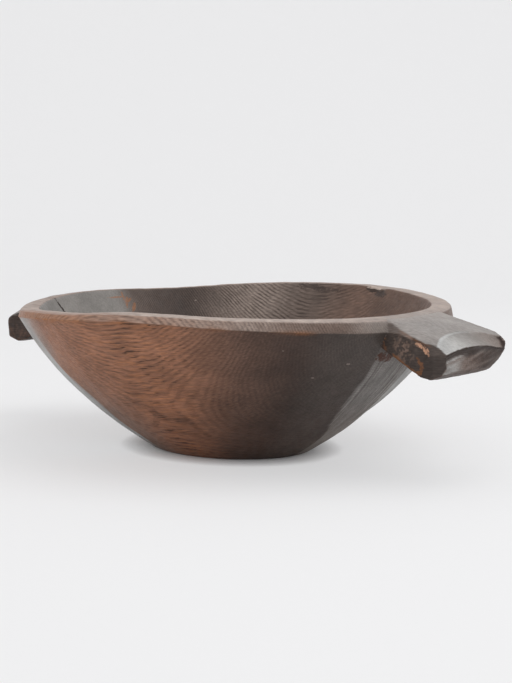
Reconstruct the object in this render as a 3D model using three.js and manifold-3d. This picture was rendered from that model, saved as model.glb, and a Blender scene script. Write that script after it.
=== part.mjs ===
// A hand-carved oval wooden bowl with a solid lug handle at each end.
// Millimetres, +Z up. +X runs along the two lugs, towards the right one. The origin is the middle of
// the foot, on the surface that the bowl stands on. Angles round the bowl are counted from +X towards +Y.

import * as THREE from 'three'
import { mergeVertices } from 'three/addons/utils/BufferGeometryUtils.js'
import Module from 'manifold-3d'

// Foot: the flat oval underneath
const FOOT_LENGTH = 145
const FOOT_WIDTH = 118

// Rim: the oval of its upper outer edge, turned a little from the line of the lugs
const RIM_LENGTH = 386
const RIM_BREADTH = 340
const OVAL_TURN = THREE.MathUtils.degToRad(-6.6)

// Rim height: a saddle that is high on the long sides, a lean, and one corner worn down by use
const RIM_HEIGHT = 122.5
const SADDLE_RISE = 3.3
const FAR_SIDE_RISE = 1
const WORN_DEPTH = 7
const WORN_BACK = 3
const WORN_ANGLE = THREE.MathUtils.degToRad(225)
const WORN_SPREAD = THREE.MathUtils.degToRad(30)

// Rim section: a top face that falls outwards, then a steep bevelled band above the wall
const RIM_TOP_WIDTH = 16
const RIM_TOP_FALL = 1.2
const BAND_HEIGHT = 7
const BAND_FLARE = 1.5

// Outer wall: where its curve bulges, as shares of its run and of its rise
const BELLY_OUT = 0.68
const BELLY_UP = 0.42

// Hollow: the flat of the floor lies inside the foot, and the inner wall sweeps up from it
const FLOOR_THICKNESS = 16
const FLOOR_INSET = 34
const HOLLOW_SWEEP = 0.58

// Lugs: a slab that widens and thickens outwards and droops from the rim. A steeper, slightly hollow facet
// is hewn across its end, so that the facet's upper border is an arch.
const LUG_REACH = 244
const LUG_ROOT_WIDTH = 76
const LUG_END_WIDTH = 86
const LUG_CORNER_RADIUS = 7
const LUG_SOFT_CORNER = 25
const LUG_CRISP_CORNER = 6
const LUG_TOE_RADIUS = 8
const END_FACET_RUN = 19
const END_FACET_DROP = 8
const END_FACET_HOLLOW = 360
const LUG_ROOT_THICKNESS = 23
const LUG_END_THICKNESS = 28.5
const LUG_BLANK_INSIDE = 46
const RIGHT_LUG_DROOP = THREE.MathUtils.degToRad(15)
const LEFT_LUG_DROOP = THREE.MathUtils.degToRad(24)

// Space between a lug's root and the wall that it seats against
const SEAT_GAP = 0.3

// Fineness of the facets
const AROUND = 72
const WALL_STEPS = 7
const CORNER_STEPS = 4
const FACET_STEPS = 8
const WELD = 1e-4

const wasm = await Module()
wasm.setup()

// Distance from the middle to an oval with these half-sizes, in one direction
function ovalReach(halfLength, halfWidth, angle) {
  return halfLength * halfWidth / Math.hypot(halfWidth * Math.cos(angle), halfLength * Math.sin(angle))
}

// How strongly the worn corner shows at an angle: 1 at its middle, fading to 0
function wear(angle) {
  const offset = Math.atan2(Math.sin(angle - WORN_ANGLE), Math.cos(angle - WORN_ANGLE))
  return Math.exp(-((offset / WORN_SPREAD) ** 2))
}

function rimReach(angle) {
  return ovalReach(RIM_LENGTH / 2, RIM_BREADTH / 2, angle - OVAL_TURN) - WORN_BACK * wear(angle)
}

function rimHeight(angle) {
  const saddle = -SADDLE_RISE * Math.cos(2 * angle)
  const lean = FAR_SIDE_RISE * Math.sin(angle)
  return RIM_HEIGHT + saddle + lean - WORN_DEPTH * wear(angle)
}

// Outside of the bowl at one angle, as (distance from the middle, height), from the foot to the rim's edge
function outerSection(angle) {
  const foot = new THREE.Vector2(ovalReach(FOOT_LENGTH / 2, FOOT_WIDTH / 2, angle), 0)
  const edge = new THREE.Vector2(rimReach(angle), rimHeight(angle))
  const bandFoot = new THREE.Vector2(edge.x + BAND_FLARE, edge.y - BAND_HEIGHT)
  const belly = new THREE.Vector2(foot.x + BELLY_OUT * (bandFoot.x - foot.x), BELLY_UP * bandFoot.y)
  const wall = new THREE.QuadraticBezierCurve(foot, belly, bandFoot).getPoints(WALL_STEPS)
  return [...wall, edge]
}

// Inside of the bowl at one angle, from the rim's inner edge down to the flat of the floor
function innerSection(angle) {
  const brink = new THREE.Vector2(rimReach(angle) - RIM_TOP_WIDTH, rimHeight(angle) + RIM_TOP_FALL)
  const floorReach = ovalReach(FOOT_LENGTH / 2 - FLOOR_INSET, FOOT_WIDTH / 2 - FLOOR_INSET, angle)
  const floor = new THREE.Vector2(floorReach, FLOOR_THICKNESS)
  const sweep = new THREE.Vector2(floor.x + HOLLOW_SWEEP * (brink.x - floor.x), FLOOR_THICKNESS)
  return new THREE.QuadraticBezierCurve(brink, sweep, floor).getPoints(WALL_STEPS)
}

// A lathe-turned form whose section changes with the angle: each column of the lathe takes its own section
function carvedForm(sectionAt) {
  const rings = sectionAt(0).length
  const geometry = new THREE.LatheGeometry(sectionAt(0), AROUND)
  const { position, uv } = geometry.attributes
  for (let i = 0; i < position.count; i += 1) {
    const angle = 2 * Math.PI * uv.getX(i)
    const point = sectionAt(angle)[Math.round(uv.getY(i) * (rings - 1))]
    position.setXYZ(i, point.x * Math.cos(angle), point.x * Math.sin(angle), point.y)
  }
  return geometry
}

// A closed solid for joining and cutting, from a geometry whose corners are welded
function solidOf(geometry) {
  geometry.deleteAttribute('normal')
  geometry.deleteAttribute('uv')
  const welded = mergeVertices(geometry, WELD)
  const corners = welded.index.array
  const triangles = []
  for (let i = 0; i < corners.length; i += 3) {
    const [a, b, c] = corners.slice(i, i + 3)
    if (a !== b && b !== c && c !== a) triangles.push(a, b, c)
  }
  const vertProperties = Float32Array.from(welded.attributes.position.array)
  const triVerts = Uint32Array.from(triangles)
  return new wasm.Manifold(new wasm.Mesh({ numProp: 3, vertProperties, triVerts }))
}

function geometryOf(solid) {
  const { vertProperties, triVerts } = solid.getMesh()
  const geometry = new THREE.BufferGeometry()
  geometry.setAttribute('position', new THREE.BufferAttribute(vertProperties, 3))
  geometry.setIndex(new THREE.BufferAttribute(triVerts, 1))
  geometry.computeVertexNormals()
  return geometry
}

// The basin: foot, flaring wall, bevelled rim and hollow
function bowlBody() {
  const footMiddle = new THREE.Vector2(0, 0)
  const floorMiddle = new THREE.Vector2(0, FLOOR_THICKNESS)
  const section = (angle) => [footMiddle, ...outerSection(angle), ...innerSection(angle), floorMiddle]
  return solidOf(carvedForm(section))
}

// Everything that the bowl's outside takes up, grown by the seat gap and carried up past the lugs' tops
function bowlOutside(top) {
  const grown = (point) => new THREE.Vector2(point.x + SEAT_GAP, point.y)
  const section = (angle) => {
    const outside = outerSection(angle).map(grown)
    const edge = outside[outside.length - 1]
    return [new THREE.Vector2(0, 0), ...outside, new THREE.Vector2(edge.x, top), new THREE.Vector2(0, top)]
  }
  return solidOf(carvedForm(section))
}

// A flat outline given a thickness, with square edges
function extruded(shape, depth, curveSegments = CORNER_STEPS) {
  return new THREE.ExtrudeGeometry(shape, { depth, bevelEnabled: false, curveSegments })
}

// Plan of a lug: it widens from the root to the end, where its corners are rounded
function lugPlan(rootX, innerX) {
  const widening = (LUG_END_WIDTH - LUG_ROOT_WIDTH) / 2 / (LUG_REACH - rootX)
  const halfWidth = (x) => LUG_ROOT_WIDTH / 2 + widening * (x - rootX)
  const cornerX = LUG_REACH - LUG_CORNER_RADIUS
  const cornerY = LUG_END_WIDTH / 2 - LUG_CORNER_RADIUS
  const plan = new THREE.Shape()
  plan.moveTo(innerX, -halfWidth(innerX))
  plan.lineTo(cornerX, -halfWidth(cornerX))
  plan.quadraticCurveTo(LUG_REACH, -halfWidth(LUG_REACH), LUG_REACH, -cornerY)
  plan.lineTo(LUG_REACH, cornerY)
  plan.quadraticCurveTo(LUG_REACH, halfWidth(LUG_REACH), cornerX, halfWidth(cornerX))
  plan.lineTo(innerX, halfWidth(innerX))
  return plan
}

// Height of a lug's top: level with the rim as far as the rim's edge, then drooping
function lugTop(x, rootX, rootTop, droop) {
  return rootTop - Math.tan(droop) * Math.max(x - rootX, 0)
}

// Side view of a lug: a drooping top, and an underside that ends in a level heel
function lugSide(rootX, innerX, rootTop, droop) {
  const facetX = LUG_REACH - END_FACET_RUN
  const heel = lugTop(facetX, rootX, rootTop, droop) - LUG_END_THICKNESS
  const side = new THREE.Shape()
  side.moveTo(innerX, rootTop - LUG_ROOT_THICKNESS)
  side.lineTo(rootX, rootTop - LUG_ROOT_THICKNESS)
  side.lineTo(facetX, heel)
  side.lineTo(LUG_REACH - LUG_TOE_RADIUS, heel)
  side.quadraticCurveTo(LUG_REACH, heel, LUG_REACH, heel + LUG_TOE_RADIUS)
  side.lineTo(LUG_REACH, lugTop(LUG_REACH, rootX, rootTop, droop))
  side.lineTo(rootX, rootTop)
  side.lineTo(innerX, rootTop)
  return side
}

// What is hewn away above the end facet: a slab with a hollow underside, laid along the facet's slope
function facetCut(facetTop) {
  const half = LUG_END_WIDTH / 2
  const spread = Math.asin(half / END_FACET_HOLLOW)
  const hollow = new THREE.Shape()
  hollow.absarc(0, END_FACET_HOLLOW, END_FACET_HOLLOW, -Math.PI / 2 - spread, -Math.PI / 2 + spread)
  hollow.lineTo(half, END_FACET_HOLLOW)
  hollow.lineTo(-half, END_FACET_HOLLOW)
  const slope = Math.atan2(END_FACET_DROP, END_FACET_RUN)
  const cut = extruded(hollow, 2 * END_FACET_RUN, FACET_STEPS)
  cut.translate(0, 0, -END_FACET_RUN / 2).rotateX(Math.PI / 2).rotateZ(Math.PI / 2)
  return cut.rotateY(slope).translate(LUG_REACH - END_FACET_RUN, 0, facetTop)
}

// End view of a lug: square above, with one lower corner worked round for the fingers and one left crisp
function lugEnd(low, high) {
  const half = LUG_END_WIDTH / 2
  const end = new THREE.Shape()
  end.moveTo(-half + LUG_CRISP_CORNER, low)
  end.lineTo(half - LUG_SOFT_CORNER, low)
  end.quadraticCurveTo(half, low, half, low + LUG_SOFT_CORNER)
  end.lineTo(half, high)
  end.lineTo(-half, high)
  end.lineTo(-half, low + LUG_CRISP_CORNER)
  end.quadraticCurveTo(-half, low, -half + LUG_CRISP_CORNER, low)
  return end
}

// A lug is what its plan, side view and end view have in common, less the cut over its end facet. Its blank
// starts inside the rim, and is cut back to seat against the bowl's wall.
function lug(turn, droop) {
  const rootX = rimReach(turn)
  const rootTop = rimHeight(turn)
  const innerX = rootX - LUG_BLANK_INSIDE
  const facetTop = lugTop(LUG_REACH - END_FACET_RUN, rootX, rootTop, droop)
  const low = facetTop - LUG_END_THICKNESS
  const plan = extruded(lugPlan(rootX, innerX), rootTop - low).translate(0, 0, low)
  const side = extruded(lugSide(rootX, innerX, rootTop, droop), LUG_END_WIDTH)
  side.translate(0, 0, -LUG_END_WIDTH / 2).rotateX(Math.PI / 2)
  const end = extruded(lugEnd(low, rootTop), LUG_REACH - innerX)
  end.rotateX(Math.PI / 2).rotateZ(Math.PI / 2).translate(innerX, 0, 0)
  const forms = [plan, side, end, facetCut(facetTop)]
  const [planSolid, sideSolid, endSolid, cutSolid] = forms.map((form) => solidOf(form.rotateZ(turn)))
  const blank = planSolid.intersect(sideSolid).intersect(endSolid).subtract(cutSolid)
  return blank.subtract(bowlOutside(rootTop + LUG_ROOT_THICKNESS))
}

function piece(name, solid, color, roughness) {
  const material = new THREE.MeshStandardMaterial({ color, roughness, metalness: 0 })
  const mesh = new THREE.Mesh(geometryOf(solid), material)
  mesh.name = name
  return mesh
}

const bowl = new THREE.Group()
bowl.name = 'carved_bowl'
bowl.add(piece('bowl_body', bowlBody(), 0x4a3630, 0.7))
bowl.add(piece('right_handle', lug(0, RIGHT_LUG_DROOP), 0x4d4441, 0.65))
bowl.add(piece('left_handle', lug(Math.PI, LEFT_LUG_DROOP), 0x3c2c26, 0.7))

export default bowl
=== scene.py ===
"""A hand-carved oval wooden bowl with a lug handle at each end, on a pale studio sweep.

The basin is spun from its section and hewn by hand, and each lug is cut from a block and grown into the wall.
The three pieces are one block of old walnut, so one wood with one grain runs through them all.
Lengths are metres and angles are radians, except where millimetres or degrees are named. Angles round the
bowl are counted from +X towards +Y.
"""

import math

import bmesh
import bpy
from bpy.props import FloatProperty, FloatVectorProperty, PointerProperty
from mathutils import Matrix, Vector, noise


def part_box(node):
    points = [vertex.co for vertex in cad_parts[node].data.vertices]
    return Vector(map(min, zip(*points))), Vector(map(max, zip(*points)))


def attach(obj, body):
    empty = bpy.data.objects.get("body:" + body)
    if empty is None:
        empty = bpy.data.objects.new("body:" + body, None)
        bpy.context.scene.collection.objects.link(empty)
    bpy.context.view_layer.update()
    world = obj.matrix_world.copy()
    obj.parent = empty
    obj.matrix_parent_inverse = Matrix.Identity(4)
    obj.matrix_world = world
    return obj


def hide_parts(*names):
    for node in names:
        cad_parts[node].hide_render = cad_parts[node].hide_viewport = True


bl_info = {
    "name": "Carved Bowl",
    "version": (1, 0, 0),
    "blender": (4, 5, 0),
    "location": "View3D > Sidebar > Carved Bowl",
    "description": "Makes a hand-carved oval wooden bowl with two lug handles, and a plain studio for it",
    "category": "Object",
}

MM = 0.001
FULL_TURN = 2 * math.pi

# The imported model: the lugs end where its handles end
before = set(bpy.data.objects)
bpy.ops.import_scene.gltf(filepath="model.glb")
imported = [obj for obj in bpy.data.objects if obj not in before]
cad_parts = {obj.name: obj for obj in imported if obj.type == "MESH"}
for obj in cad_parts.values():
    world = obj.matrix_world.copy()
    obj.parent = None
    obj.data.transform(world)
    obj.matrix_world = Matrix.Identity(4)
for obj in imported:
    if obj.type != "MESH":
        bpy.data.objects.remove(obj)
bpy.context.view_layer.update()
LUG_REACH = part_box("right_handle")[1].x
BODY = "root"

# Fineness of the basin's mesh: columns round it, and rings along each part of its section
COLUMNS = 520
RINGS = {"foot": 10, "wall": 66, "ledge": 1, "band": 3, "top": 6, "hollow": 70, "floor": 8}

# Rounding of the basin's corners, where each part of the section ends
ROUNDED = {"foot": 2.2 * MM, "ledge": 0.35 * MM, "band": 1.1 * MM, "top": 2.2 * MM}

# Directions round the bowl: its near side, where the band is narrowest, and where its ledge has its mean depth
NEAR_SIDE = 1.5 * math.pi
NARROW_BAND = math.radians(262)
MEAN_LEDGE = math.radians(240)

# Knife flats down the wall: the border where they start, how flat each one is, and how much grey sheen is
# painted on each. The near side was smoothed with a scraper afterwards. Two flats lie at the right lug, and
# one of them carries the palest painted sheen.
FLATS = 20
FLAT_WIDTH = math.radians(18)
FIRST_FLAT = math.radians(349.1)
FLATNESS = {14: 0.5, 15: 0.12, 16: 0.05, 17: 0.08, 18: 0.05, 19: 0.15}
FLAT_SHEEN = {0: 0.68, 1: 0.9, 2: 0.6, 12: 0.5, 13: 0.6, 14: 0, 15: 0, 16: 0, 17: 0, 18: 0, 19: 0}
OTHER_FLAT_SHEEN = 0.2
LUG_FLATS = (0, 1)
PALEST_FLAT = 1

# The wall's usual distance from the bowl's middle, in millimetres
WALL_RADIUS = 150

# Where the rim is worn, as (middle, spread) in degrees and (how far in, how far down) in millimetres
RIM_WEAR = ((225, 30, 3, 7), (262, 17, 0, 3.3), (149, 19, 0, 2.7))

# Knocks in the rim and in the lugs, and beads of old resin on the wall, which are less than zero deep, as
# (middle, radius, depth) in millimetres
RIM_DENTS = (((44, 148, 127), 6, 2.2), ((52, 145, 126), 4, 1.5), ((-35, 152, 127), 5, 0.8))
RESIN_BEADS = (
    ((180, -30.5, 93.4), 2.8, -2.6), ((179.2, -24.5, 91.4), 2.8, -2.2), ((179, -18.5, 90), 2.6, -1.8)
)
LUG_DENTS = (((221, -42.5, 103), 4, 1.4), ((225, -43.5, 98.5), 3.5, 1.2))

# Corners of the block that a lug is cut from, in millimetres, and half the width of its end facet
LUG_BLOCK = ((160, -50, 70), (250, 50, 125))
FACET_HALF_WIDTH = 38 * MM

# How sharply a lug's top dips inside the rim's edge, for the square of the distance
LUG_DIP = 50

# Size of the cubes that a cut lug is built up from again, and rounds of smoothing after that on the right lug
# (1) and on the left (-1), which is worn rounder
LUG_VOXEL = 0.8 * MM
LUG_SOFTENING = {1: 2, -1: 16}

# The log's pith, as a point in millimetres and turns, and the distance between the yearly rings round it. At
# scale 1, a pattern of rings goes through 20 radians in each metre.
PITH = (3.4, -34.4, 122.6)
PITH_TURNS = (0, math.radians(-4.1), math.radians(5.6))
RING_SPACING = 1.6 * MM
RING_SCALE = FULL_TURN / (20 * RING_SPACING)


def linear(code):
    """An sRGB hex value as linear red, green, blue and alpha."""
    shares = (int(code[i:i + 2], 16) / 255 for i in (1, 3, 5))
    return (*(x / 12.92 if x <= 0.04045 else ((x + 0.055) / 1.055) ** 2.4 for x in shares), 1)


def length(name, description, size):
    return FloatProperty(name=name, description=description, default=size, unit="LENGTH", precision=4)


def angle_of(name, description, degrees):
    return FloatProperty(name=name, description=description, default=math.radians(degrees), subtype="ANGLE")


def share_of(name, description, value):
    return FloatProperty(name=name, description=description, default=value, min=0, max=1, subtype="FACTOR")


def colour(name, description, code):
    return FloatVectorProperty(
        name=name, description=description, default=linear(code), size=4, min=0, max=1, subtype="COLOR"
    )


class BasinSizes(bpy.types.PropertyGroup):
    """Sizes of the basin: its foot, wall, rim and hollow."""

    foot_length: length("Foot length", "Flat oval underneath, along the lugs", 145 * MM)
    foot_width: length("Foot width", "Flat oval underneath, across the lugs", 118 * MM)
    rim_length: length("Rim length", "Oval of the rim's upper outer edge, its long way", 386 * MM)
    rim_breadth: length("Rim breadth", "Oval of the rim's upper outer edge, its short way", 340 * MM)
    oval_turn: angle_of("Oval turn", "Turn of the rim's oval from the line of the lugs", -6.6)
    rim_height: length("Rim height", "Mean height of the rim's outer edge", 124 * MM)
    saddle_rise: length("Saddle rise", "How far the rim is up at the sides and down at the lugs", 3.3 * MM)
    far_side_rise: length("Far side rise", "How far the rim leans up on the +Y side", 1 * MM)
    rim_top_width: length("Rim top width", "Width of the rim's top face", 16 * MM)
    rim_top_fall: length("Rim top fall", "How far the rim's top falls outwards along the sides", 0.6 * MM)
    lug_top_fall: length("Top fall at lugs", "How much more it falls where it runs on into a lug", 1.6 * MM)
    band_height: length("Band height", "Height of the bevelled band under the rim's edge", 8.4 * MM)
    band_lean: length("Band lean", "How much narrower the band is along the near side", 3.7 * MM)
    band_flare: length("Band flare", "How far the band's foot stands out past the rim's edge", 1.7 * MM)
    band_ledge: length("Band ledge", "How far the band's foot overhangs the wall, at most", 1.3 * MM)
    belly_out: share_of("Belly out", "Where the wall's curve bulges, as a share of its run", 0.68)
    belly_up: share_of("Belly up", "Where the wall's curve bulges, as a share of its rise", 0.42)
    floor_thickness: length("Floor thickness", "Wood under the hollow", 16 * MM)
    floor_inset: length("Floor inset", "How far the flat of the floor lies inside the foot", 34 * MM)
    hollow_sweep: share_of("Hollow sweep", "How far out the inner wall's curve reaches low down", 0.58)
    knife_flats: share_of("Knife flats", "How flat the knife's cuts down the outer wall are", 0.85)


class LugSizes(bpy.types.PropertyGroup):
    """Sizes of the lugs."""

    reach: length("Lug reach", "From the bowl's middle to a lug's end", LUG_REACH)
    right_droop: angle_of("Right droop", "Slope of the right lug's top", 15)
    left_droop: angle_of("Left droop", "Slope of the left lug's top", 19)
    left_depth: length("Left depth", "How much deeper the left lug is underneath", 2.8 * MM)
    facet_run: length("End facet run", "Length of the steeper facet at the middle of a lug's end", 18.5 * MM)
    near_arch: length("Near arch", "How much shorter the end facet is at its near side", 8 * MM)
    far_arch: length("Far arch", "How much shorter the end facet is at its far side", 18 * MM)
    end_height: length("End height", "Height of the right lug's end face, at its middle", 103.9 * MM)
    end_crown: length("End crown", "How much lower the end face is at its corners", 5 * MM)
    near_roll: length("Near roll", "How far the top's near edge is rounded down", 3.6 * MM)
    root_lap: length("Root lap", "How far a lug's top stands over the rim where they merge", 0.5 * MM)


class BowlColours(bpy.types.PropertyGroup):
    """Colours of the wood and of the studio."""

    heart: colour("Heartwood", "Plain brown of the old walnut", "#62493d")
    ember: colour("Red heartwood", "Redder wood on the near side", "#956850")
    flame: colour("Bright streaks", "Orange streaks in the redder wood", "#b0703f")
    # Smoked wood, also used for painted shade: on the lugs' end faces, on the left lug's sides and in the
    # groove under each end facet
    smoke_and_shade: colour("Smoked wood", "Almost black wood at the lugs, in the hollow and in knots", "#3a2f2a")
    hollow: colour("Hollow", "Greyed brown wood inside", "#695a52")
    # Grey of the weathered lugs, and also painted sheen: on the flats at the wall's edges, high in the
    # hollow's left end, as a veil on the wall, and on each lug's end facet
    grey_and_sheen: colour("Weathered wood", "Grey of the lugs, the flats and part of the hollow", "#86827e")
    # Palest grey: the lugs' bleached tops, painted sheen at the wall's edges, and a painted highlight on each
    # lug's end facet
    bleach_and_sheen: colour("Bleached wood", "Palest grey on the lugs' tops and down the wall", "#b3b3b2")
    # Rubbed wood on the rim and edges, and also painted sheen on the hollow's far wall and a painted
    # reflection low on the flats at the right lug
    worn: colour("Worn wood", "Pale rubbed wood on the rim and edges", "#b3a399")
    ochre: colour("Ochre wear", "Orange-brown wood where edges are rubbed through", "#a0622f")
    bare: colour("Bare wood", "Fresh pale wood in chips", "#c4977c")
    resin: colour("Resin", "Old brown resin under the right lug", "#431f08")
    # Also the painted shadow in the groove under each lug's end facet
    pore_and_shadow: colour("Pores", "Dark pores, growth lines, the crack and the groove in a lug's end", "#2b1d17")
    studio: colour("Studio", "Floor and backdrop", "#f2f2f3")


def clamped(value):
    return min(1, max(0, value))


def ease(low, high, value):
    """0 up to low, 1 from high on, and a smooth rise between. Low may be the greater of the two."""
    share = clamped((value - low) / (high - low))
    return share * share * (3 - 2 * share)


def bump_at(value, middle, spread):
    """1 at the middle, fading to 0 on both sides."""
    return math.exp(-(((value - middle) / spread) ** 2))


def patch(place, middle, radii):
    """1 at the middle of an egg-shaped patch, fading to 0 past its radii. Both are in millimetres."""
    return math.exp(-sum(((place[i] / MM - middle[i]) / radii[i]) ** 2 for i in range(3)))


def round_noise(angle, lobes, seed):
    """Smooth noise from -1 to 1 that closes on itself round the bowl."""
    return noise.noise(Vector((lobes * math.cos(angle), lobes * math.sin(angle), seed)))


def dented(place, dents):
    """Depth of the dents at a point."""
    depths = (
        depth * MM * bump_at((place - Vector(middle) * MM).length, 0, radius * MM)
        for middle, radius, depth in dents
    )
    return sum(depths)


# Shape of the basin


def oval_reach(half_length, half_width, angle):
    """Distance from the middle to an oval, in one direction."""
    return half_length * half_width / math.hypot(half_width * math.cos(angle), half_length * math.sin(angle))


def rim_edge(size, angle):
    """The rim's upper outer edge at one angle, as (distance from the middle, height)."""
    reach = oval_reach(size.rim_length / 2, size.rim_breadth / 2, angle - size.oval_turn)
    saddle = -size.saddle_rise * math.cos(2 * angle) + size.far_side_rise * math.sin(angle)
    unevenness = 0.5 * MM * round_noise(angle, 4, 7.3) + 0.25 * MM * round_noise(angle, 13, 1.7)
    edge = Vector((reach, size.rim_height + saddle + unevenness))
    for middle, spread, inwards, down in RIM_WEAR:
        off_middle = math.degrees(math.remainder(angle - math.radians(middle), FULL_TURN))
        edge -= Vector((inwards, down)) * MM * bump_at(off_middle, 0, spread)
    return edge


def curve_point(start, pull, end, share):
    """A point on the curve that leaves start towards pull and arrives at end from it."""
    return start.lerp(pull, share).lerp(pull.lerp(end, share), share)


def band_at(size, angle):
    """Height of the bevelled band under the rim's edge, at one angle."""
    return size.band_height - size.band_lean * max(0, math.cos(angle - NARROW_BAND)) ** 1.3


def section_point(size, angle, part, share):
    """A point of the basin's section at one angle, a share of the way along one of its parts."""
    foot = Vector((oval_reach(size.foot_length / 2, size.foot_width / 2, angle), 0))
    edge = rim_edge(size, angle)
    band_foot = edge + Vector((size.band_flare, -band_at(size, angle)))
    ledge = size.band_ledge * (0.6 + 0.4 * math.sin(angle - MEAN_LEDGE))
    wall_top = band_foot - Vector((ledge, 0.6 * ledge))
    fall = size.rim_top_fall + size.lug_top_fall * math.cos(angle) ** 6
    floor_half = (size.foot_length / 2 - size.floor_inset, size.foot_width / 2 - size.floor_inset)
    floor = Vector((oval_reach(*floor_half, angle), size.floor_thickness))
    brink = edge + Vector((-size.rim_top_width, fall))
    if part == "foot":
        return foot * share
    if part == "wall":
        belly = Vector((foot.x + size.belly_out * (band_foot.x - foot.x), size.belly_up * band_foot.y))
        return curve_point(foot, belly, wall_top, share)
    if part == "ledge":
        return wall_top.lerp(band_foot, share)
    if part == "band":
        return band_foot.lerp(edge, share)
    if part == "top":
        return edge + Vector((-size.rim_top_width * share, fall * (1 - (1 - share) ** 2)))
    if part == "hollow":
        sweep = Vector((floor.x + size.hollow_sweep * (brink.x - floor.x), floor.y))
        return curve_point(brink, sweep, floor, share)
    return Vector((floor.x * (1 - share), floor.y))


def knife_flat(angle, height):
    """Which of the wall's flats a point is on, and how far it is from the flat's middle, as an angle."""
    lean = math.radians(8) * ease(45 * MM, 12 * MM, height)
    step = (angle - FIRST_FLAT - lean) % FULL_TURN / FLAT_WIDTH
    step += 0.07 * round_noise(angle, 3, height / (40 * MM))
    number = math.floor(step)
    return number % FLATS, (step - number - 0.5) * FLAT_WIDTH


def hewn(size, part, share, angle, place):
    """How far the tools left the surface proud of its smooth form: below zero where they cut deeper."""
    if part == "wall":
        number, off_middle = knife_flat(angle, place.z)
        sag = math.hypot(place.x, place.y) * (1 - math.cos(FLAT_WIDTH / 2) / math.cos(off_middle))
        fade = ease(0, 0.12, share) * ease(1, 0.85, share)
        flat = size.knife_flats * FLATNESS.get(number, 1) * fade * sag
        return 0.15 * MM * noise.noise(place / (9 * MM)) - flat
    if part == "hollow":
        return 0.25 * MM * noise.noise(place / (22 * MM)) + 0.08 * MM * noise.noise(place / (7 * MM))
    if part in ("band", "top"):
        return 0.2 * MM * noise.noise(place / (7 * MM)) * min(1, 4 * share, 4 * (1 - share))
    return 0


def basin_mesh(size):
    """Spins the section round the bowl, hews each column to its own shape and rounds the corners."""
    stations = [("foot", 0)]
    for part, rings in RINGS.items():
        stations += [(part, (i + 1) / rings) for i in range(rings)]
    bm = bmesh.new()
    station = bm.verts.layers.int.new("station")
    chain = []
    for i, (part, share) in enumerate(stations):
        point = section_point(size, 0, part, share)
        chain.append(bm.verts.new((point.x, 0, point.y)))
        chain[-1][station] = i
    spokes = [bm.edges.new(pair) for pair in zip(chain, chain[1:])]
    bmesh.ops.spin(
        bm, geom=chain + spokes, cent=(0, 0, 0), axis=(0, 0, 1), angle=FULL_TURN, steps=COLUMNS,
        use_merge=True,
    )
    on_axis = [v for v in bm.verts if math.hypot(v.co.x, v.co.y) < 0.01 * MM]
    bmesh.ops.remove_doubles(bm, verts=on_axis, dist=0.02 * MM)
    for v in bm.verts:
        angle = math.atan2(v.co.y, v.co.x)
        point = section_point(size, angle, *stations[v[station]])
        v.co = (point.x * math.cos(angle), point.x * math.sin(angle), point.y)
    bmesh.ops.recalc_face_normals(bm, faces=bm.faces)
    bm.normal_update()
    moves = []
    for v in bm.verts:
        proud = hewn(size, *stations[v[station]], math.atan2(v.co.y, v.co.x), v.co)
        moves.append(v.normal * (proud - dented(v.co, RIM_DENTS + RESIN_BEADS)))
    for v, move in zip(bm.verts, moves):
        v.co += move
    for part, rounding in ROUNDED.items():
        corner = stations.index((part, 1))
        ring = [e for e in bm.edges if all(v[station] == corner for v in e.verts)]
        bmesh.ops.bevel(
            bm, geom=ring, offset=rounding, segments=3, profile=0.5, affect="EDGES", material=-1,
            clamp_overlap=True,
        )
    return bm


# Shape of the lugs


def lug_cuts(side):
    """The flats that a lug is hewn to, as (a point, the way each one faces), in millimetres."""
    if side > 0:
        own = (
            ((232.5, -42.6, 95), (0.285, -0.958, -0.05)),
            ((231.5, -42.5, 98.5), (0.272, -0.946, 0.178)),
            ((243.1, -39.7, 92.1), (0.834, -0.289, -0.47)),
        )
    else:
        own = (
            ((240.8, -42, 90), (0.78, -0.62, 0)),
            ((239, 0, 84.6), (0.55, 0, -0.835)),
            ((243.2, 0, 90.5), (0.9, 0, -0.43)),
        )
    return (
        *own,
        ((183, 0, 119), (-0.84, 0, 0.545)),
        ((195, -39.3, 109), (-0.12, -0.99, -0.08)),
        ((193, -37.6, 119), (-0.095, -0.983, 0.157)),
        ((195, 38.6, 109), (-0.13, 0.99, -0.06)),
        ((244.4, 0, 95), (1, 0, -0.04)),
        ((243.7, -29, 95), (0.995, -0.1, 0)),
        ((215, 0, 84.5), (-0.438, 0, -0.899)),
        ((229, 0, 80.6), (-0.14, 0, -0.99)),
        ((237, -38, 83.6), (0.39, -0.05, -0.92)),
        ((242, 0, 84.2), (0.75, -0.04, -0.66)),
        ((244, 8, 83.4), (0, 0.1, -0.995)),
        ((244, 21, 87.3), (0, 0.415, -0.91)),
        ((244, 30.8, 92.8), (0, 0.625, -0.78)),
        ((244, 39.4, 100.3), (0, 0.88, -0.47)),
        ((229, -42.5, 82), (0, -0.75, -0.66)),
        ((238, 43, 95), (0.4, 0.91, 0)),
        ((241.5, 41, 95), (0.68, 0.73, 0)),
        ((243.6, 37.5, 95), (0.89, 0.45, 0)),
        ((242.8, 39.2, 102.8), (0.55, 0.5, 0.67)),
        ((242.5, 38.5, 93), (0.6, 0.5, -0.62)),
    )


def lug_top(size, lugs, side, x, y):
    """Height of a lug's top: on from the rim's edge at its slope, and dipping under the rim's own top."""
    edge = rim_edge(size, math.atan2(y, side * x))
    out = math.hypot(x, y) - edge.x
    dip = LUG_DIP * min(out, 0) ** 2
    roll = lugs.near_roll * ease(-32 * MM, -43 * MM, y) * ease(190 * MM, 204 * MM, x)
    return edge.y + lugs.root_lap - math.tan(lugs.right_droop) * out - dip - roll


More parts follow.
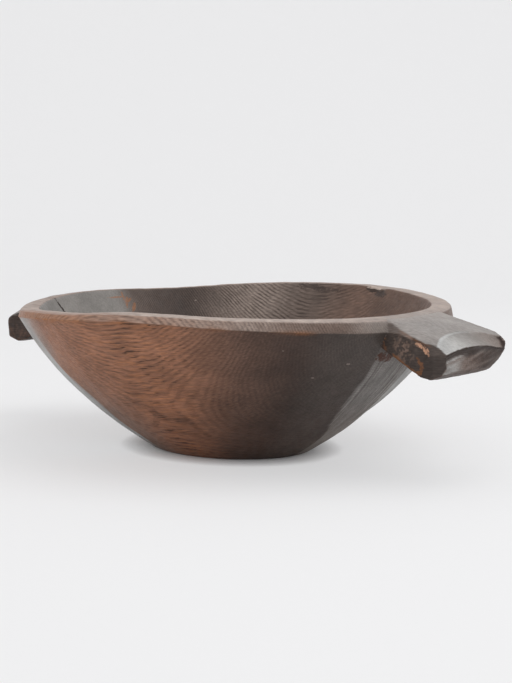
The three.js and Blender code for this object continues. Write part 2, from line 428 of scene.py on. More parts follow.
def facet_border(lugs, y):
    """How far out the end facet starts: its border arches across the lug."""
    arch = lugs.near_arch if y < 0 else lugs.far_arch
    return min(lugs.reach - lugs.facet_run + arch * (y / FACET_HALF_WIDTH) ** 2, lugs.reach - 2 * MM)


def end_facet(size, lugs, side, x, y):
    """Height of the steeper facet at a lug's end: straight from its arched border to the crowned end face."""
    border = facet_border(lugs, y)
    start = lug_top(size, lugs, side, border, y)
    end = lugs.end_height - lugs.end_crown * (y / FACET_HALF_WIDTH + 0.2) ** 2
    cut_back = lugs.reach - 1.7 * MM + 0.166 * (y + 29 * MM)
    run = min(lugs.reach, cut_back) - border + 0.5 * MM
    return start - (start - end) * (x - border) / max(run, 2 * MM)


def lug_marks(place):
    """Unevenness that the axe and knife left on a lug."""
    return 0.3 * MM * noise.noise(place / (14 * MM)) + 0.15 * MM * noise.noise(place / (5 * MM))


def evaluated_bmesh(piece):
    """A bmesh of a piece with its modifiers applied."""
    bpy.context.view_layer.update()
    shown = piece.evaluated_get(bpy.context.evaluated_depsgraph_get())
    bm = bmesh.new()
    bm.from_mesh(shown.to_mesh())
    shown.to_mesh_clear()
    return bm


def remeshed(bm, voxel):
    """The same shape built up again from small cubes, which evens its mesh and softens its edges."""
    mesh = bpy.data.meshes.new("block")
    bm.to_mesh(mesh)
    bm.free()
    block = bpy.data.objects.new("block", mesh)
    bpy.context.scene.collection.objects.link(block)
    modifier = block.modifiers.new("even", "REMESH")
    modifier.mode = "VOXEL"
    modifier.voxel_size = voxel
    result = evaluated_bmesh(block)
    bpy.data.objects.remove(block)
    return result


def soften(bm, verts, rounds):
    """Moves each vertex towards the middle of its neighbours, a number of times."""
    for _ in range(rounds):
        bmesh.ops.smooth_vert(bm, verts=verts, factor=0.5, use_axis_x=True, use_axis_y=True, use_axis_z=True)


def lug_mesh(size, lugs, side, droop):
    """Hews one lug from a block: flats, then the sloping top and its end facet. side is 1 right, -1 left."""
    bm = bmesh.new()
    low, high = (Vector(corner) * MM for corner in LUG_BLOCK)
    bmesh.ops.create_cube(bm, size=1)
    bmesh.ops.scale(bm, vec=high - low, verts=bm.verts)
    bmesh.ops.translate(bm, vec=(low + high) / 2, verts=bm.verts)
    for point, facing in lug_cuts(side):
        geometry = bm.verts[:] + bm.edges[:] + bm.faces[:]
        cut = bmesh.ops.bisect_plane(
            bm, geom=geometry, plane_co=Vector(point) * MM, plane_no=facing, clear_outer=True
        )
        border = [e for e in cut["geom_cut"] if isinstance(e, bmesh.types.BMEdge)]
        bmesh.ops.contextual_create(bm, geom=border)
    bmesh.ops.recalc_face_normals(bm, faces=bm.faces)
    bm = remeshed(bm, LUG_VOXEL)
    for v in bm.verts:
        x, y = v.co.x, v.co.y
        v.co.z = min(v.co.z, lug_top(size, lugs, side, x, y), end_facet(size, lugs, side, x, y))
    bm = remeshed(bm, LUG_VOXEL)
    soften(bm, bm.verts, LUG_SOFTENING[side])
    bm.normal_update()
    moves = []
    for v in bm.verts:
        drop = end_facet(size, lugs, side, v.co.x, v.co.y) - v.co.z
        near = ease(0, -25 * MM, v.co.y)
        groove = (0.9 + 0.9 * near) * MM * bump_at(drop, (2.4 + near) * MM, (1.4 + near) * MM)
        groove *= v.normal.x > 0.7
        charring = 0.3 * MM * (v.normal.y < -0.7) * noise.noise(v.co / (3.5 * MM))
        moves.append(v.normal * (lug_marks(v.co) + charring - dented(v.co, LUG_DENTS) - groove))
    root = rim_edge(size, 0).x
    extra = math.tan(droop) - math.tan(lugs.right_droop)
    deeper = lugs.left_depth if side < 0 else 0
    for v, move in zip(bm.verts, moves):
        v.co += move
        v.co.z -= extra * max(v.co.x - root, 0) + deeper * ease(100 * MM, 84 * MM, v.co.z)
        v.co.x *= side
    if side < 0:
        bmesh.ops.reverse_faces(bm, faces=bm.faces)
    return bm


def set_mesh(piece, bm):
    """Gives a piece this mesh, smooth shaded."""
    for face in bm.faces:
        face.smooth = True
    bm.to_mesh(piece.data)
    bm.free()
    piece.data.update()


def grow_together(basin, lugs):
    """Joins the lugs to the basin, softens the corner along each root, and parts them again along it."""
    pieces = [basin, *lugs]
    for number, piece in enumerate(pieces):
        marker = piece.data.attributes.new("piece", "INT", "FACE")
        marker.data.foreach_set("value", [number] * len(piece.data.polygons))
    for lug in lugs:
        modifier = basin.modifiers.new("join", "BOOLEAN")
        modifier.operation = "UNION"
        modifier.solver = "MANIFOLD"
        modifier.object = lug
    whole = evaluated_bmesh(basin)
    basin.modifiers.clear()
    root = whole.verts.layers.float.new("root")
    marker = whole.faces.layers.int["piece"]
    seam = {v for e in whole.edges if len({f[marker] for f in e.link_faces}) > 1 for v in e.verts}
    for reach in (4, 3, 2, 1):
        ring = set(seam)
        for _ in range(reach):
            ring |= {e.other_vert(v) for v in ring for e in v.link_edges}
        for v in ring:
            v[root] += 0.25
        soften(whole, list(ring), 2)
    for number, piece in enumerate(pieces):
        part = whole.copy()
        marker = part.faces.layers.int["piece"]
        others = [f for f in part.faces if f[marker] != number]
        bmesh.ops.delete(part, geom=others, context="FACES")
        border = [e for e in part.edges if e.is_boundary]
        caps = bmesh.ops.holes_fill(part, edges=border, sides=0)["faces"]
        bmesh.ops.poke(part, faces=caps)
        for e in border:
            e.smooth = False
        set_mesh(piece, part)
    whole.free()


def new_piece(name, bm, node):
    """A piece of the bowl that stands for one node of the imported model."""
    piece = bpy.data.objects.new(name, bpy.data.meshes.new(name))
    bpy.context.scene.collection.objects.link(piece)
    set_mesh(piece, bm)
    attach(piece, BODY)
    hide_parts(node)
    return piece


# The wood

# Masks from 0 to 1 that each piece's mesh carries for the wood
MASKS = (
    "ember", "rings", "open_pores", "smoke_and_shade", "hollow", "grey_and_sheen", "flat_sheen", "bleach_and_sheen", "worn", "ochre", "tar_and_shadow"
)

# Marks on the wood, as (middle, turns in degrees, radii), in millimetres, and how much larger than its radii
# each is drawn, so that its edge can fade
MARK_SPREAD = 1.6
CRACK = (((-160.6, -48, 111.5), (18, -31, 24), (4.5, 1.5, 13)),)
KNOTS = (
    ((-36, 151, 125), (0, 0, 0), (12, 7, 3)),
    ((-25, 151.5, 123.4), (0, 8, 0), (10, 6, 2.4)),
    ((-10, 152, 122.5), (0, 0, 0), (9, 6, 1.4)),
)
RIM_CHIPS = (
    ((41, 148.5, 124.8), (0, 8, -14), (9, 6, 2)),
    ((50, 144.5, 123), (0, 8, -17), (9, 6, 2.8)),
)
SPLINTERS = (
    ((38, 150.5, 127.4), (0, 0, -10), (6, 4, 1)),
    ((44, 148.4, 126.6), (0, 6, -14), (4, 4, 0.8)),
)
FRESH_CHIPS = (
    ((220.5, -42, 105), (0, 20, -6), (3.4, 5, 1.7)),
    ((226, -42.4, 101.8), (0, 48, -6), (4, 5, 2.2)),
)
SCRATCHES = (
    ((-171, 29, 115), (0, 0, -8), (6, 9, 0.7)),
    ((-169, 37, 114.5), (12, 25, -12), (6, 1.1, 5)),
    ((-165, 38.5, 110), (-30, 25, -12), (6, 1.2, 5)),
    ((-161, 43, 105), (-40, 25, -12), (6, 1.3, 4)),
    ((-167, 41, 112), (25, 25, -12), (6, 4, 0.7)),
)
RUBBED_LINES = (
    ((201.6, -38.6, 91.8), (0, 34.7, 0), (8, 5, 1.9)),
    ((211, -39.3, 86.6), (0, 28, 0), (7.5, 5, 2)),
    ((217.5, -40, 84.6), (0, -22, 0), (4.2, 5, 1.7)),
    ((221.6, -40.8, 87.6), (0, -71, 0), (5, 5, 1.5)),
    ((220.8, -41.1, 92.7), (0, 48, 0), (4.4, 5, 1.4)),
)
RESIN = (
    ((180, -30.5, 93.2), (0, 0, 0), (9, 4.6, 3.6)),
    ((179.2, -24, 91.6), (18, 0, 0), (9, 5, 2.8)),
    ((179, -17.5, 90.4), (12, 0, 0), (9, 5, 3)),
)
SPECKS = (
    ((128.8, -131.7, 115), (0, 0, 0), (1, 1.6, 0.7)),
    ((145.7, -105.3, 101), (0, 0, 0), (1, 1.6, 0.7)),
    ((148.7, -74.6, 78.5), (0, 0, 0), (0.8, 1.6, 0.6)),
    ((-108.2, 108.5, 101), (0, 0, 0), (1, 1.6, 0.7)),
    ((-131.3, 95.7, 110), (0, 0, 0), (1, 1.6, 0.7)),
    ((167.5, -55.9, 88.7), (0, 0, 0), (1, 1.6, 0.7)),
    ((92.8, -137.2, 93.2), (0, 0, 0), (0.8, 1.6, 0.6)),
)


def add(tree, kind, links=None, **settings):
    """Adds a node with its settings, and a value or another node's output for each socket."""
    node = tree.nodes.new(kind)
    for name, value in settings.items():
        setattr(node, name, value)
    for socket, value in (links or {}).items():
        if isinstance(value, bpy.types.Node):
            value = value.outputs[0]
        if isinstance(value, bpy.types.NodeSocket):
            tree.links.new(value, node.inputs[socket])
        else:
            node.inputs[socket].default_value = value
    return node


def graded(tree, value, low, high, start=0, end=1):
    """A value that goes from start to end as another goes from low to high."""
    return add(tree, "ShaderNodeMapRange", {"Value": value, 1: low, 2: high, 3: start, 4: end})


def product(tree, share, *others):
    """Several shares multiplied together."""
    for other in others:
        share = add(tree, "ShaderNodeMath", {0: share, 1: other}, operation="MULTIPLY")
    return share


def mixed(tree, share, under, over, blend="MIX"):
    """One colour laid over another by a share."""
    return add(tree, "ShaderNodeMixRGB", {0: share, 1: under, 2: over}, blend_type=blend)


def lumps(tree, place, size, detail):
    """Noise in lumps of one size."""
    return add(tree, "ShaderNodeTexNoise", {"Vector": place, "Scale": 1 / size, "Detail": detail})


def strands(tree, grain, run, thickness, detail):
    """Noise drawn out along the grain."""
    scale = (1 / run, 1 / thickness, 1 / thickness)
    return lumps(tree, add(tree, "ShaderNodeMapping", {"Vector": grain, "Scale": scale}), 1, detail)


def marks(tree, place, ragged, spots, most):
    """One mask for several egg-shaped marks with ragged edges: 0 off the marks, and the most on them."""
    mask = None
    for middle, turns, radii in spots:
        egg = add(
            tree, "ShaderNodeMapping",
            {
                "Vector": place, "Location": [offset * MM for offset in middle],
                "Rotation": [math.radians(turn) for turn in turns],
                "Scale": [MARK_SPREAD * radius * MM for radius in radii],
            },
            vector_type="TEXTURE",
        )
        egg = add(tree, "ShaderNodeTexGradient", {"Vector": egg}, gradient_type="SPHERICAL").outputs["Fac"]
        mask = add(tree, "ShaderNodeMath", {0: mask, 1: egg}, operation="MAXIMUM") if mask else egg
    return graded(tree, product(tree, mask, ragged), 0.22, 0.5, 0, most)


def old_walnut(colours):
    """Old walnut, carved by hand and rubbed by use: rings round the log's pith, rows of open pores along the
    grain that show as dark dashes, and a dull, dust-grey sheen. Some light and shade is painted into its
    colour too: grey sheen where the surface turns away, a highlight on each lug's end facet, shade on the lugs
    and the shadow in each lug's groove."""
    material = bpy.data.materials.new("old_walnut")
    material.use_nodes = True
    tree = material.node_tree
    shader = tree.nodes["Principled BSDF"]
    shader.inputs["Specular IOR Level"].default_value = 0.27
    place = add(tree, "ShaderNodeTexCoord").outputs["Object"]
    masks = {name: add(tree, "ShaderNodeAttribute", attribute_name=name).outputs["Fac"] for name in MASKS}

    # The log's pith runs from lug to lug near the bowl's mouth, so its rings cross the wall in nested bows
    pith = add(
        tree, "ShaderNodeMapping", {"Vector": place, "Location": Vector(PITH) * MM, "Rotation": PITH_TURNS},
        vector_type="TEXTURE",
    )
    sway = lumps(tree, place, 40 * MM, 3).outputs["Color"]
    sway = add(tree, "ShaderNodeVectorMath", {0: sway, 1: (0.5, 0.5, 0.5)}, operation="SUBTRACT")
    grain = add(tree, "ShaderNodeVectorMath", {0: sway, 1: (5 * MM,) * 3, 2: pith}, operation="MULTIPLY_ADD")
    ring = add(
        tree, "ShaderNodeTexWave",
        {"Vector": grain, "Scale": RING_SCALE, "Distortion": 1.2, "Detail": 2, "Detail Scale": 0.6},
        wave_type="RINGS", rings_direction="X", wave_profile="SIN",
    )
    porous = graded(tree, ring.outputs["Fac"], 0.3, 0.85)
    greyed = add(tree, "ShaderNodeMath", {0: masks["grey_and_sheen"], 1: masks["bleach_and_sheen"]}, operation="MAXIMUM")
    clear = graded(tree, greyed, 0, 1, 1, 0.12)
    crisp = graded(tree, greyed, 0, 1, 1, 0.4)
    vigour = graded(tree, lumps(tree, place, 14 * MM, 3), 0.36, 0.64, 0.35, 1)
    ring_share = product(tree, masks["rings"], porous, clear, vigour)

    # Each ring's early wood is full of open pores. They are drawn thicker than life, to show in a picture.
    pores = graded(tree, strands(tree, grain, 14 * MM, 0.95 * MM, 1), 0.5, 0.6)
    bundle = graded(tree, lumps(tree, place, 26 * MM, 2), 0.4, 0.6, 0.35, 1)
    pore_share = product(tree, masks["open_pores"], bundle, porous, pores, clear)
    streaks = strands(tree, grain, 26 * MM, 1.6 * MM, 3)
    streak_share = graded(tree, streaks, 0.48, 0.68, 0, 0.42)
    streak_share = product(tree, streak_share, masks["ember"], masks["open_pores"])
    streak_tone = graded(tree, streaks, 0.3, 0.7, 0.9, 1.1)

    # The knife's strokes down the wall show as streaks in the grey sheen painted on the flats
    level = add(tree, "ShaderNodeVectorMath", {0: place, 1: (1, 1, 0)}, operation="MULTIPLY")
    outwards = add(tree, "ShaderNodeVectorMath", {0: level}, operation="NORMALIZE")
    height = add(tree, "ShaderNodeVectorMath", {0: place, 1: (0, 0, 1 / (28 * MM))}, operation="MULTIPLY")
    round_wall = (WALL_RADIUS / 2.2,) * 3
    strokes = add(
        tree, "ShaderNodeVectorMath", {0: outwards, 1: round_wall, 2: height}, operation="MULTIPLY_ADD"
    )
    strokes = graded(tree, lumps(tree, strokes, 1, 3), 0.34, 0.66, 0.25, 1.5)
    flat_sheen_share = product(tree, masks["flat_sheen"], strokes)
    flat_sheen_share.use_clamp = True

    # Handling and smoke leave soft blotches, and fine fibres break up every tone
    mottle_tone = graded(tree, lumps(tree, place, 30 * MM, 6), 0.3, 0.7, 0.78, 1.22)
    fibres = strands(tree, grain, 9 * MM, 1.1 * MM, 4)
    fibre_tone = graded(tree, fibres, 0.3, 0.7, 0.74, 1.26)
    grime = lumps(tree, place, 6 * MM, 5)
    grime_share = graded(tree, grime, 0.3, 0.6, 0.58, 1)
    worn_share = product(tree, masks["worn"], grime_share)
    ochre_share = product(tree, masks["ochre"], grime_share)
    ragged = graded(tree, lumps(tree, place, 2.4 * MM, 3), 0.36, 0.56, 0.45, 1.35)

    # Tones are laid on one after another; besides the wood's own colours they carry painted sheen at the edges
    # and in the hollow, a highlight on the lugs' facets, shade on the lugs and the shadow in their grooves
    tone = colours.heart
    for share, shade in (
        (masks["hollow"], colours.hollow), (masks["ember"], colours.ember), (streak_share, colours.flame),
        (masks["smoke_and_shade"], colours.smoke_and_shade), (masks["grey_and_sheen"], colours.grey_and_sheen), (flat_sheen_share, colours.grey_and_sheen),
        (masks["bleach_and_sheen"], colours.bleach_and_sheen),
    ):
        tone = mixed(tree, share, tone, shade)
    for shade in (mottle_tone, streak_tone):
        tone = mixed(tree, 1, tone, shade, "MULTIPLY")
    for share, shade in (
        (worn_share, colours.worn), (ochre_share, colours.ochre), (masks["tar_and_shadow"], colours.pore_and_shadow),
        (ring_share, colours.pore_and_shadow), (pore_share, colours.pore_and_shadow),
    ):
        tone = mixed(tree, share, tone, shade)
    for spots, shade, most in (
        (CRACK, colours.pore_and_shadow, 1), (KNOTS, colours.smoke_and_shade, 0.6), (RIM_CHIPS, colours.smoke_and_shade, 0.85),
        (SPLINTERS, colours.worn, 0.9), (FRESH_CHIPS, colours.bare, 0.95), (SCRATCHES, colours.ochre, 0.5),
        (RUBBED_LINES, colours.ochre, 0.36), (RESIN, colours.resin, 1), (SPECKS, colours.worn, 0.35),
    ):
        tone = mixed(tree, marks(tree, place, ragged, spots, most), tone, shade)
    tone = mixed(tree, crisp, tone, fibre_tone, "MULTIPLY")
    tree.links.new(tone.outputs[0], shader.inputs["Base Color"])

    relief = add(tree, "ShaderNodeMath", {0: fibres, 1: pore_share}, operation="SUBTRACT")
    relief = add(tree, "ShaderNodeMath", {0: relief, 1: grime}, operation="ADD")
    relief = product(tree, relief, crisp)
    bump = add(tree, "ShaderNodeBump", {"Height": relief, "Strength": 0.5, "Distance": 0.3 * MM})
    tree.links.new(bump.outputs["Normal"], shader.inputs["Normal"])
    dullness = graded(tree, grime, 0.3, 0.7, 0.42, 0.6)
    tree.links.new(dullness.outputs[0], shader.inputs["Roughness"])
    return material


def basin_masks(size, place, facing, convexity):
    """Where the basin is red, smoked, greyed, rubbed pale or rubbed through, or painted with sheen, each from
    0 to 1.

    x, y and z are in millimetres. turn is in degrees from the near side, and grows towards the right lug.
    """
    x, y, z = place / MM
    angle = math.atan2(y, x)
    turn = math.degrees(math.remainder(angle - NEAR_SIDE, FULL_TURN))
    edge = rim_edge(size, angle)
    band_height = band_at(size, angle)
    depth = edge.y - place.z
    low = ease(60, 8, z)

    # The faces: the rim's top, the hollow, the band under the rim and the wall
    inwards = -(facing.x * math.cos(angle) + facing.y * math.sin(angle))
    top = ease(0.75, 0.92, facing.z) * ease(9 * MM, 4 * MM, depth)
    inside = (1 - top) * (inwards > 0.05 or (facing.z > 0.8 and z < 60))
    outside = (1 - top) * (1 - inside)
    band = outside * ease(band_height + 0.5 * MM, band_height - 0.5 * MM, depth)
    wall = outside * (1 - band)

    # The wall is red on the near side and smoked towards the right lug, and the hollow is each in places
    red = ease(47, 20, turn) * ease(-140, -90, turn)
    smoked = ease(38, 64, turn) * ease(150, 110, turn)
    red_hollow = inside * ease(-30, 25, x) * ease(10, 80, y) * ease(30, 80, z)
    smoked_hollow = inside * patch(place, (-135, 82, 105), (40, 46, 42))

    # Painted sheen: some flats are grey along the knife's strokes, and so is a strip of the wall at the left
    number = knife_flat(angle, place.z)[0]
    strokes = 1 + 0.5 * noise.noise(Vector((angle * WALL_RADIUS / 2.5, 0, z / 60)))
    grey_flat = FLAT_SHEEN.get(number, OTHER_FLAT_SHEEN) * strokes * ease(14 * MM, 38 * MM, depth)
    strip_start = -22 - 9 * ease(40, 95, z)
    crisp, soft = ease(strip_start, strip_start - 4.5, turn), 0.75 * ease(-18, -40, turn)
    grey_strip = (crisp + (soft - crisp) * ease(65, 95, z)) * ease(-62, -50, turn)

    # Rubbed places, and painted sheen: grey high in the hollow's left end and pale on its far wall
    hem = outside * bump_at(depth, band_height + 0.2 * MM, 0.9 * MM)
    rubbed = max(ease(-0.15, 0.3, round_noise(angle, 5, 2)), 0.7 * ease(8, 0, turn) * ease(-30, -20, turn))
    sheen_at_left_end = ease(50, 26, y) * ease(-105, -140, x) * ease(40, 85, z)
    pale = patch(place, (-85, 135, 108), (36, 45, 45))
    by_lug = band * ease(66, 76, turn) * ease(100, 90, turn)
    at_lug = top * patch(place, (188, 2, 120), (20, 42, 14))
    brown_edge = top * ease(-46, -34, turn) * ease(22, 0, turn)
    brown_edge *= ease(12 * MM, 6 * MM, edge.x - place.xy.length)
    scuffs = 1 + 0.4 * noise.noise(place / (5 * MM)) + 0.3 * noise.noise(place / (12 * MM))
    worn = top * scuffs * (0.7 + 0.25 * ease(80, 50, abs(turn)) - 0.12 * ease(-40, -70, turn))
    worn += band * (0.24 + 0.36 * ease(62, 45, turn) - 0.12 * ease(10, -10, turn))
    # Rubbed edges; painted sheen on the hollow's far wall, and a painted reflection of the floor low on the
    # flats at the right lug
    worn += 0.5 * ease(0.06, 0.25, convexity) + 0.65 * inside * pale
    worn += 0.3 * wall * low * (number in LUG_FLATS)
    worn -= 0.35 * at_lug + 0.6 * brown_edge
    return {
        "ember": outside * red * (1 - 0.12 * low) + 0.8 * brown_edge + 0.24 * red_hollow,
        "rings": (
            outside * (0.1 + 0.13 * ease(-25, 5, turn) + 0.12 * band)
            + inside * (0.24 + 0.36 * ease(40, -60, x) + 0.05 * pale)
        ),
        "open_pores": outside * (1 - 0.5 * band) * (0.18 + 0.66 * bump_at(turn, 16, 16)) + 0.3 * inside,
        "smoke_and_shade": (
            wall * (smoked * (1 - 0.4 * low) + 0.05 * low * (1 - smoked) * ease(-8, 30, turn))
            + 0.4 * band * smoked + 0.9 * smoked_hollow
        ),
        "hollow": inside,
        # Grey on the band and the rim's top by the right lug, and painted sheen: high in the hollow's left
        # end, and a grey veil on the wall towards the right lug and low down at the near left
        "grey_and_sheen": (
            inside * sheen_at_left_end + 0.65 * by_lug + 0.5 * at_lug
            + wall * (0.12 * ease(57, 70, turn) * smoked + 0.36 * ease(90, 20, z) * ease(15, -18, turn))
        ),
        "flat_sheen": wall * max(0, grey_flat, 0.75 * grey_strip),
        # Painted sheen at the wall's edges: the palest flat by the right lug and the strip at the left; pale
        # grey too on the rim's top by the right lug
        "bleach_and_sheen": (
            wall * max(0.36 * (number == PALEST_FLAT), grey_strip * ease(0, 14, z))
            + 0.2 * top * ease(40, 80, turn)
        ),
        "worn": clamped(worn),
        "ochre": (
            band * (0.1 * red + 0.42 * ease(20, -10, turn) * ease(-50, -30, turn))
            + 0.7 * hem * rubbed * ease(80, 60, turn)
        ),
        "tar_and_shadow": 0,
    }


def lug_masks(size, lugs, place, facing):
    """The same masks for a lug: greyed on top with a painted highlight on the end facet, smoked on its near
    side, darker underneath, painted shade on its end face and the left lug's sides, and painted shadow in the
    groove under the facet.

    x, y and z are in millimetres, and x is counted outwards on both lugs.
    """
    left = place.x < 0
    reach = abs(place.x)
    x, y, z = reach / MM, place.y / MM, place.z / MM

    # The faces, and the end facet on top, painted paler than the top as a highlight, brightest at its near
    # side and along its upper border
    top = ease(0.35, 0.6, facing.z)
    near = ease(-0.55, -0.85, facing.y)
    end = ease(0.6, 0.9, abs(facing.x)) * (1 - top)
    under = ease(-0.3, -0.7, facing.z)
    past_border = reach - facet_border(lugs, place.y)
    on_facet = ease(-0.4 * MM, 0.4 * MM, past_border)
    facet_highlight = 0.8 * ease(8, -40, y) + 0.45 * ease(2.6 * MM, 1.2 * MM, past_border) * ease(25, 0, y)

    # The end face: streaks, the painted shadow in the groove under the facet, a greyed wedge, and the right
    # lug's rubbed tip
    along, across = 0.97 * y + 0.24 * z, 0.97 * z - 0.24 * y
    streak = noise.noise(Vector((along / 20, across / 2.6, 3)))
    groove_height = 7.5 - 4.5 * ease(-12, 28, y)
    groove_drop = (end_facet(size, lugs, 1, reach, place.y) - place.z) / MM
    # Painted shadow in the groove under the facet, laid on as dark wood
    groove = ease(groove_height, 0.5 * groove_height, groove_drop) * (0.85 + 0.6 * streak)
    groove *= (1 - top) * (1 - near) * ease(0.2, 0.5, abs(facing.x))
    shade = end * (0.45 + 0.45 * ease(-22, 22, y) + 0.45 * streak)
    wedge = end * ease(-10, -38, y) * (0.75 + 0.8 * streak)
    tip = patch(place, (243, 41, 101), (4, 7, 6)) * (not left)

    # The near side: dust, a rubbed line under the top's edge, the rim's band, the corner and the root
    roughness = noise.noise(place / (4 * MM)) + noise.noise(place / (1.8 * MM))
    dust = near * patch(place, (205, -40, 101), (9, 9, 9)) * ease(-0.15, 0.5, roughness)
    under_top = (lug_top(size, lugs, 1, reach, place.y) - place.z) / MM
    near_line = near * bump_at(under_top, 1.3, 0.8) * ease(198, 204, x) * ease(232, 228, x)
    band_end = near * ease(-0.6, 0.6, z - 112.3 + 0.26 * max(0, x - 200)) * ease(216, 212, x)
    corner = near * ease(225, 229, x) * ease(98, 99.5, z)
    seam = near * bump_at(x, 187, 1.5) * ease(-0.3, 0.3, roughness)
    smoke = near * (1 - 0.85 * dust) * (1 - 0.5 * seam) * (1 - band_end) * (1 - 0.35 * corner)

    # Smoked near side, darker underneath, painted shade on the end face and the left lug's sides, and the
    # groove's painted shadow
    smoke_and_shade = max(smoke, 0.7 * under, shade, left * (1 - top)) * (1 - 0.8 * wedge) + groove
    smoke_and_shade -= left * (0.15 * ease(93, 85, z) + 0.2 * ease(234, 241, x) + 0.25 * roughness) + 0.7 * tip
    return {
        "ember": 0.03 * end + left * (1 - top) * (0.1 + 0.4 * ease(95, 85, z)),
        "rings": 0.2,
        "open_pores": (0.6 if left else 0.12) * (1 - top),
        "smoke_and_shade": clamped(smoke_and_shade),
        "hollow": 0,
        "grey_and_sheen": max(
            0, top * (0.6 + on_facet * (0.3 - 0.3 * ease(0, 30, y))), wedge * (1 - groove),
            end * (0.1 - 0.5 * streak), 0.55 * band_end, 0.32 * corner,
            near * (0.08 + 0.4 * dust) * (not left),
        ),
        "flat_sheen": 0,
        "bleach_and_sheen": clamped(max(top * (0.31 + on_facet * (facet_highlight - 0.31)), 0.25 * wedge * (1 - groove))),
        "worn": top * (0.05 + 0.14 * ease(206, 188, x)) * (1 - on_facet),
        "ochre": clamped(0.35 * seam + 0.2 * dust + 0.25 * tip + (0.05 if left else 0.28) * near_line),
        # Painted shadow in the groove, and darker wood on the end face's far side and at the near corner
        "tar_and_shadow": clamped(0.8 * groove + 0.28 * end * ease(-5, 25, y) + 0.35 * corner),
    }


def surface(piece):
    """Each vertex of a piece as (place, facing, convexity), with no convexity in the corner along a root."""
    bm = bmesh.new()
    bm.from_mesh(piece.data)
    root = bm.verts.layers.float["root"]
    points = []
    for v in bm.verts:
        bends = [v.normal.dot((v.co - e.other_vert(v).co).normalized()) for e in v.link_edges]
        convexity = sum(bends) / len(bends) * (v[root] == 0)
        points.append((v.co.copy(), v.normal.copy(), convexity))
    bm.free()
    return points


def finish_wood(piece, wood, rows):
    """Gives a piece its wood, and its mesh one row of masks for each vertex."""
    for name in MASKS:
        mask = piece.data.attributes.new(name, "FLOAT", "POINT")
        mask.data.foreach_set("value", [row[name] for row in rows])
    piece.data.materials.append(wood)


# The operators that make the bowl


class CARVEDBOWL_OT_basin(bpy.types.Operator):
    """Carve the basin"""

    bl_idname = "carved_bowl.basin"
    bl_label = "Carve Basin"

    def execute(self, context):
        new_piece("basin", basin_mesh(context.scene.basin_sizes), "bowl_body")
        return {"FINISHED"}


class CARVEDBOWL_OT_lugs(bpy.types.Operator):
    """Carve the two lugs and grow them into the basin's wall"""

    bl_idname = "carved_bowl.lugs"
    bl_label = "Carve Lugs"

    def execute(self, context):
        size, lugs = context.scene.basin_sizes, context.scene.lug_sizes
        right_mesh = lug_mesh(size, lugs, 1, lugs.right_droop)
        right = new_piece("right_lug", right_mesh, "right_handle")
        left_mesh = lug_mesh(size, lugs, -1, lugs.left_droop)
        left = new_piece("left_lug", left_mesh, "left_handle")
        grow_together(bpy.data.objects["basin"], [right, left])
        return {"FINISHED"}


class CARVEDBOWL_OT_wood(bpy.types.Operator):
    """Finish the carved pieces as one block of old walnut"""

    bl_idname = "carved_bowl.wood"
    bl_label = "Finish Wood"

    def execute(self, context):
        size, lugs = context.scene.basin_sizes, context.scene.lug_sizes
        walnut = old_walnut(context.scene.bowl_colours)
        basin = bpy.data.objects["basin"]
        finish_wood(basin, walnut, [basin_masks(size, *point) for point in surface(basin)])
        for name in ("right_lug", "left_lug"):
            lug = bpy.data.objects[name]
            rows = [lug_masks(size, lugs, place, facing) for place, facing, _ in surface(lug)]
            finish_wood(lug, walnut, rows)
        return {"FINISHED"}


# The studio: a sweep of pale cloth, soft light, and the camera

# The camera, fitted to the photo: its turn round the bowl, its drop, distance and aim, and its lens and its
# picture's height in millimetres
VIEW_TURN = math.radians(41.07)
VIEW_DROP = math.radians(6.44)
VIEW_DISTANCE = 1190 * MM
VIEW_AIM = Vector((9.9, 21.7, 87.2)) * MM
LENS = 73.8
SENSOR = 36

RIGHT = Vector((math.cos(VIEW_TURN), math.sin(VIEW_TURN), 0))
AWAY = Vector((-math.sin(VIEW_TURN), math.cos(VIEW_TURN), 0))
UP = Vector((0, 0, 1))

# The sweep's width, its floor's depth, how far behind the bowl it turns up, and its cove and rise there
SWEEP_WIDTH = 8
FLOOR_DEPTH = 4
COVE_AWAY = 1.5
COVE_RADIUS = 0.8
BACKDROP_RISE = 3

# The lamp's place, width and power in watts, and the strength of the light from all round
LAMP_PLACE = VIEW_AIM + RIGHT * 0.8 - AWAY * 0.3 + UP * 1.6
LAMP_WIDTH = 1.6
LAMP_POWER = 13
AIR_STRENGTH = 0.8


def sweep():
    """The floor runs back from the camera, turns up in a wide cove and rises behind the bowl."""
    bm = bmesh.new()
    corner = bm.verts.new(AWAY * COVE_AWAY - RIGHT * SWEEP_WIDTH / 2)
    bmesh.ops.spin(
        bm, geom=[corner], cent=corner.co + UP * COVE_RADIUS, axis=RIGHT, angle=math.pi / 2, steps=16
    )
    bm.verts.ensure_lookup_table()
    front = bm.verts.new(corner.co - AWAY * FLOOR_DEPTH)
    bm.edges.new((corner, front))
    highest = max(bm.verts, key=lambda v: v.co.z)
    top = bm.verts.new(highest.co + UP * BACKDROP_RISE)
    bm.edges.new((highest, top))
    wide = bmesh.ops.extrude_edge_only(bm, edges=bm.edges[:])["geom"]
    moved = [v for v in wide if isinstance(v, bmesh.types.BMVert)]
    bmesh.ops.translate(bm, vec=RIGHT * SWEEP_WIDTH, verts=moved)
    bmesh.ops.recalc_face_normals(bm, faces=bm.faces)
    return bm


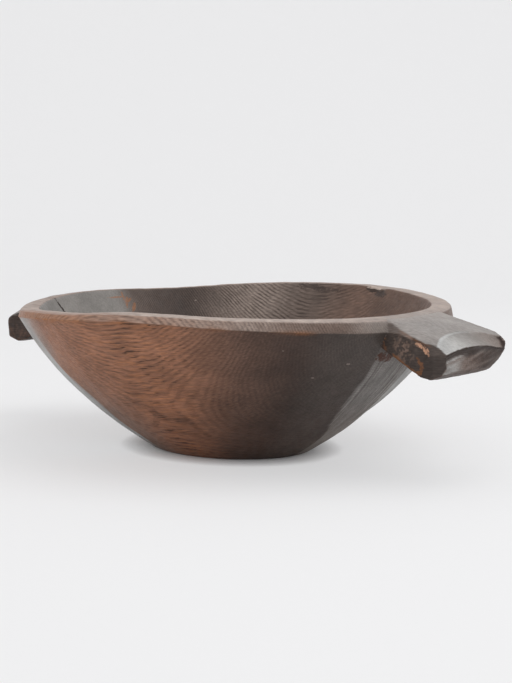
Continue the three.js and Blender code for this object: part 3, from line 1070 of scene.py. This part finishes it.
def studio_cloth(colours):
    """Plain matt cloth, lifted a little for the camera, so that it reads as white and keeps the shadow."""
    material = bpy.data.materials.new("studio_cloth")
    material.use_nodes = True
    tree = material.node_tree
    shader = tree.nodes["Principled BSDF"]
    shader.inputs["Base Color"].default_value = colours.studio
    shader.inputs["Roughness"].default_value = 0.9
    shader.inputs["Specular IOR Level"].default_value = 0.1
    seen = add(tree, "ShaderNodeLightPath").outputs["Is Camera Ray"]
    open_air = add(tree, "ShaderNodeAmbientOcclusion", {"Distance": 16 * MM}).outputs["AO"]
    lift = product(tree, open_air, 0.62, seen)
    glow = add(tree, "ShaderNodeEmission", {"Color": colours.studio, "Strength": 0.95})
    lifted = add(tree, "ShaderNodeMixShader", {0: lift, 1: shader, 2: glow})
    tree.links.new(lifted.outputs[0], tree.nodes["Material Output"].inputs["Surface"])
    return material


def studio_lamp():
    """A square soft light that faces the bowl."""
    light = bpy.data.lights.new("top_softbox", "AREA")
    light.size = LAMP_WIDTH
    light.energy = LAMP_POWER
    lamp = bpy.data.objects.new("top_softbox", light)
    lamp.location = LAMP_PLACE
    lamp.rotation_euler = (VIEW_AIM - LAMP_PLACE).to_track_quat("-Z", "Y").to_euler()
    return lamp


def studio_camera():
    """The camera, level from side to side and looking a little down at the bowl."""
    lens = bpy.data.cameras.new("camera")
    lens.sensor_fit = "VERTICAL"
    lens.sensor_height = SENSOR
    lens.lens = LENS
    camera = bpy.data.objects.new("camera", lens)
    forward = AWAY * math.cos(VIEW_DROP) - UP * math.sin(VIEW_DROP)
    upwards = AWAY * math.sin(VIEW_DROP) + UP * math.cos(VIEW_DROP)
    turned = Matrix((RIGHT, upwards, -forward)).transposed().to_4x4()
    camera.matrix_world = Matrix.Translation(VIEW_AIM - forward * VIEW_DISTANCE) @ turned
    return camera


class CARVEDBOWL_OT_studio(bpy.types.Operator):
    """Set up the floor, the backdrop, the light and the camera"""

    bl_idname = "carved_bowl.studio"
    bl_label = "Set Up Studio"

    def execute(self, context):
        scene = context.scene
        scene.view_settings.view_transform = "Standard"
        cloth = bpy.data.objects.new("studio_sweep", bpy.data.meshes.new("studio_sweep"))
        scene.collection.objects.link(cloth)
        set_mesh(cloth, sweep())
        cloth.data.materials.append(studio_cloth(scene.bowl_colours))
        world = bpy.data.worlds.new("studio_air")
        world.use_nodes = True
        air = world.node_tree.nodes["Background"].inputs
        air["Strength"].default_value = AIR_STRENGTH
        air["Color"].default_value = (1, 1, 1, 1)
        scene.world = world
        scene.collection.objects.link(studio_lamp())
        camera = studio_camera()
        scene.collection.objects.link(camera)
        scene.camera = camera
        return {"FINISHED"}


class CARVEDBOWL_PT_panel(bpy.types.Panel):
    """Lists the bowl's steps in the sidebar"""

    bl_idname = "CARVEDBOWL_PT_panel"
    bl_label = "Carved Bowl"
    bl_space_type = "VIEW_3D"
    bl_region_type = "UI"
    bl_category = "Carved Bowl"

    def draw(self, context):
        for operator in OPERATORS:
            self.layout.operator(operator.bl_idname)


OPERATORS = (CARVEDBOWL_OT_basin, CARVEDBOWL_OT_lugs, CARVEDBOWL_OT_wood, CARVEDBOWL_OT_studio)
SETTINGS = {"basin_sizes": BasinSizes, "lug_sizes": LugSizes, "bowl_colours": BowlColours}


def register():
    for group in (*SETTINGS.values(), *OPERATORS, CARVEDBOWL_PT_panel):
        bpy.utils.register_class(group)
    for name, group in SETTINGS.items():
        setattr(bpy.types.Scene, name, PointerProperty(type=group))


def unregister():
    for name in SETTINGS:
        delattr(bpy.types.Scene, name)
    for group in reversed((*SETTINGS.values(), *OPERATORS, CARVEDBOWL_PT_panel)):
        bpy.utils.unregister_class(group)


def main():
    register()
    bpy.ops.carved_bowl.basin()
    bpy.ops.carved_bowl.lugs()
    bpy.ops.carved_bowl.wood()
    bpy.ops.carved_bowl.studio()


if __name__ == "__main__":
    main()
